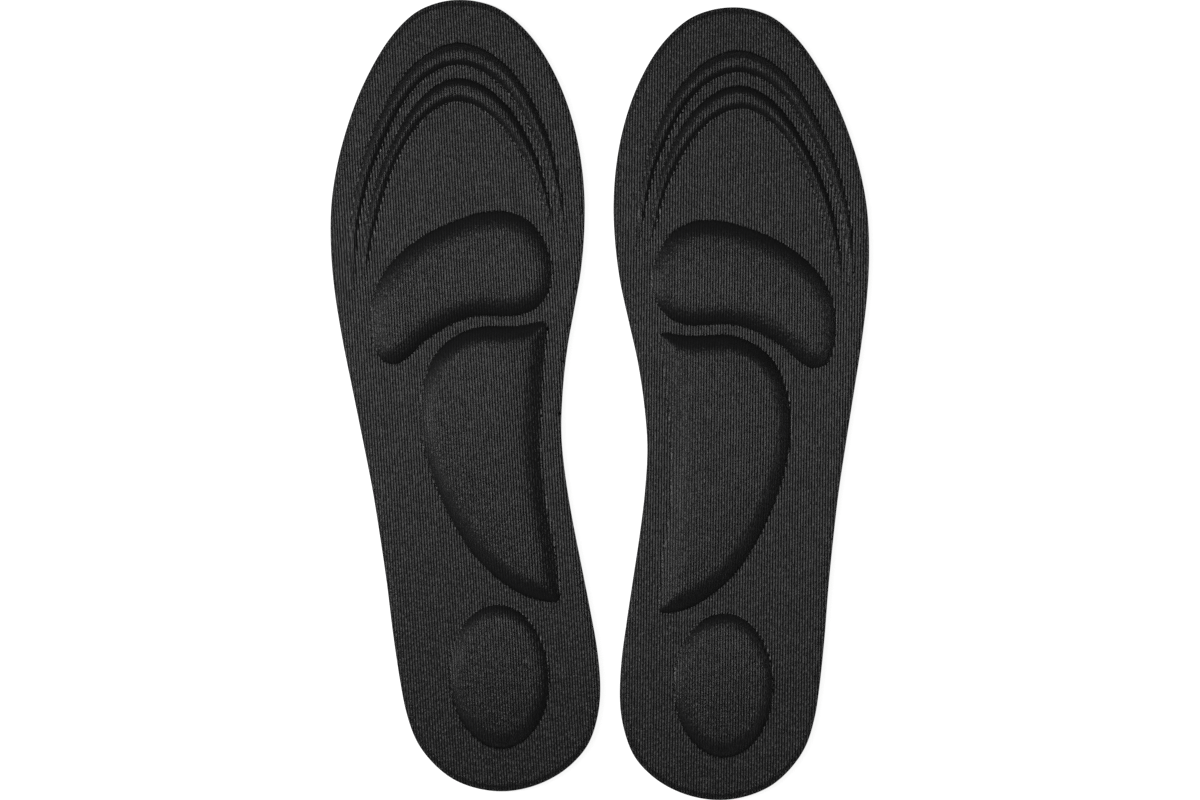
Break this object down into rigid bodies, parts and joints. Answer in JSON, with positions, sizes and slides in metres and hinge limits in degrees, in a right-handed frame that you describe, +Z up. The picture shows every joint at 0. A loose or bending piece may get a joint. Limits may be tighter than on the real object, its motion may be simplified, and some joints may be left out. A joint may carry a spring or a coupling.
{
  "type": "cushioned insole",
  "caption": "Pair of full-length cushioned shoe insoles: black ribbed knit over foam, with raised metatarsal, arch and heel pads and crescent ridges round the toes.",
  "frame": {"origin": "on the surface the insoles lie on, under the middle of the pair's box", "axes": "+X from the left insole to the right one, +Y from the heels to the toes, +Z up"},
  "size_m": [0.1968, 0.2926, 0.0101],
  "materials": {
    "ribbed_knit": "black polyester knit with fine lengthwise ribs, matt",
    "backing_cloth": "black thin plain cloth, matt",
    "base_foam": "grey soft sponge foam, matt",
    "insert_foam": "light grey soft sponge foam, matt"
  },
  "bodies": {
    "left_insole": {"left_top_cover": "ribbed_knit", "left_base_foam": "base_foam", "left_metatarsal_pad": "insert_foam", "left_arch_pad": "insert_foam", "left_heel_pad": "insert_foam", "left_toe_ridge_outer": "insert_foam", "left_toe_ridge_inner": "insert_foam", "left_bottom_cloth": "backing_cloth"},
    "right_insole": {"right_top_cover": "ribbed_knit", "right_base_foam": "base_foam", "right_metatarsal_pad": "insert_foam", "right_arch_pad": "insert_foam", "right_heel_pad": "insert_foam", "right_toe_ridge_outer": "insert_foam", "right_toe_ridge_inner": "insert_foam", "right_bottom_cloth": "backing_cloth"}
  },
  "joints": [
    {"name": "pair_spread", "type": "slide", "parent": "left_insole", "child": "right_insole", "axis": [1, 0, 0], "range_m": [0, 0.12]}
  ]
}
